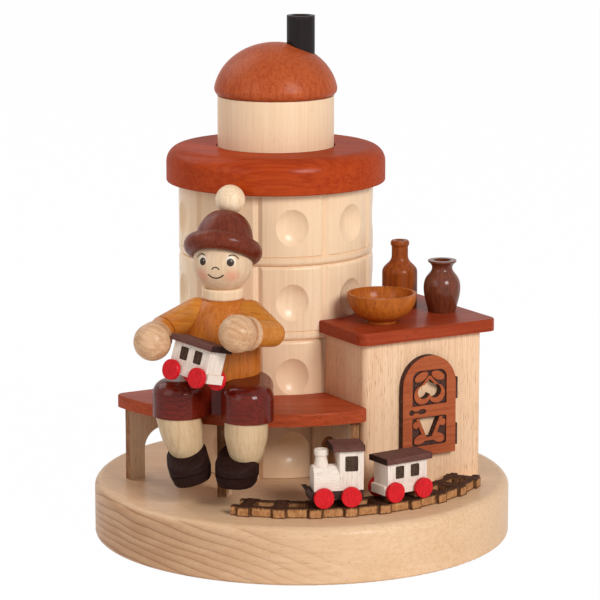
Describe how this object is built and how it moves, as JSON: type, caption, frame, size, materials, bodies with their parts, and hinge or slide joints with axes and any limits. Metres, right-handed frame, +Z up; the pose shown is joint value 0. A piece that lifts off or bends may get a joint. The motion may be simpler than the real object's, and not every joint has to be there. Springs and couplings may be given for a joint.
{
  "type": "incense smoker",
  "caption": "Wooden incense smoker built as a round tiled stove with a lift-off domed top and chimney, a bench with a seated boy, a side stove with crockery and a toy train.",
  "frame": {"origin": "middle of the base plate's underside", "axes": "+Z up, the front faces -Y, +X to the right seen from the front"},
  "size_m": [0.135, 0.135, 0.1654],
  "materials": {
    "natural_wood": "clear lacquer",
    "leg_wood": "stained and lacquered",
    "red_stain": "stained and lacquered",
    "black_pipe": "stained and lacquered",
    "plate_metal": "bare sheet brass",
    "bowl_wood": "stained and lacquered",
    "bottle_wood": "stained and lacquered",
    "jug_wood": "stained and lacquered",
    "track_wood": "stained and lacquered",
    "train_white": "stained and lacquered",
    "train_dark": "stained and lacquered",
    "train_roof": "stained and lacquered",
    "wheel_red": "stained and lacquered",
    "axle_wire": "bare wire",
    "trousers_stain": "stained and lacquered",
    "stocking_wood": "stained and lacquered",
    "shoe_stain": "stained and lacquered",
    "shirt_stain": "stained and lacquered",
    "pale_wood": "stained and lacquered",
    "face_wood": "stained and lacquered",
    "hat_stain": "stained and lacquered"
  },
  "bodies": {
    "root": {"base_plate": "natural_wood", "stove_row_1": "natural_wood", "stove_row_2": "natural_wood", "stove_row_3": "natural_wood", "stove_row_4": "natural_wood", "side_stove": "natural_wood", "bench_legs": "leg_wood", "cornice_ring": "red_stain", "bench_seat": "red_stain", "side_stove_top": "red_stain", "oven_door": "red_stain", "cone_plate": "plate_metal", "bowl": "bowl_wood", "bottle": "bottle_wood", "jug": "jug_wood", "track": "track_wood", "loco_boiler": "train_white", "loco_stack": "train_white", "loco_cab": "train_white", "wagon_chassis": "train_white", "wagon_body": "train_white", "toy_wagon_chassis": "train_white", "toy_wagon_body": "train_white", "loco_chassis": "train_dark", "loco_roof": "train_roof", "wagon_roof": "train_roof", "toy_wagon_roof": "train_roof", "trousers_seat": "trousers_stain", "thigh_left": "trousers_stain", "thigh_right": "trousers_stain", "shin_left": "stocking_wood", "shin_right": "stocking_wood", "shoe_left": "shoe_stain", "shoe_right": "shoe_stain", "torso": "shirt_stain", "upper_arm_left": "shirt_stain", "upper_arm_right": "shirt_stain", "forearm_left": "shirt_stain", "forearm_right": "shirt_stain", "collar": "pale_wood", "hand_left": "pale_wood", "hand_right": "pale_wood", "pompom": "pale_wood", "head": "face_wood", "hat": "hat_stain"},
    "lid": {"neck": "natural_wood", "dome": "red_stain", "chimney": "black_pipe"},
    "loco_front_wheelset": {"loco_front_axle": "axle_wire", "loco_front_wheels": "wheel_red"},
    "loco_rear_wheelset": {"loco_rear_axle": "axle_wire", "loco_rear_wheels": "wheel_red"},
    "wagon_front_wheelset": {"wagon_front_axle": "axle_wire", "wagon_front_wheels": "wheel_red"},
    "wagon_rear_wheelset": {"wagon_rear_axle": "axle_wire", "wagon_rear_wheels": "wheel_red"},
    "toy_wagon_front_wheelset": {"toy_wagon_front_axle": "axle_wire", "toy_wagon_front_wheels": "wheel_red"},
    "toy_wagon_rear_wheelset": {"toy_wagon_rear_axle": "axle_wire", "toy_wagon_rear_wheels": "wheel_red"}
  },
  "joints": [
    {"name": "lid_lift", "type": "slide", "parent": "root", "child": "lid", "axis": [0, 0, 1], "range_m": [0, 0.03]},
    {"name": "loco_front_roll", "type": "hinge", "parent": "root", "child": "loco_front_wheelset", "pos_m": [0.00591, -0.05011, 0.0243], "axis": [-0.1882, 0.9821, 0], "continuous": true},
    {"name": "loco_rear_roll", "type": "hinge", "parent": "root", "child": "loco_rear_wheelset", "pos_m": [0.01445, -0.04848, 0.0243], "axis": [-0.1882, 0.9821, 0], "continuous": true},
    {"name": "wagon_front_roll", "type": "hinge", "parent": "root", "child": "wagon_front_wheelset", "pos_m": [0.02638, -0.0438, 0.0243], "axis": [-0.5563, 0.831, 0], "continuous": true},
    {"name": "wagon_rear_roll", "type": "hinge", "parent": "root", "child": "wagon_rear_wheelset", "pos_m": [0.03535, -0.0378, 0.0243], "axis": [-0.5563, 0.831, 0], "continuous": true},
    {"name": "toy_wagon_front_roll", "type": "hinge", "parent": "root", "child": "toy_wagon_front_wheelset", "pos_m": [-0.03729, -0.04266, 0.06195], "axis": [0.6175, 0.7489, -0.2406], "continuous": true},
    {"name": "toy_wagon_rear_roll", "type": "hinge", "parent": "root", "child": "toy_wagon_rear_wheelset", "pos_m": [-0.02918, -0.0497, 0.06082], "axis": [0.6175, 0.7489, -0.2406], "continuous": true}
  ]
}
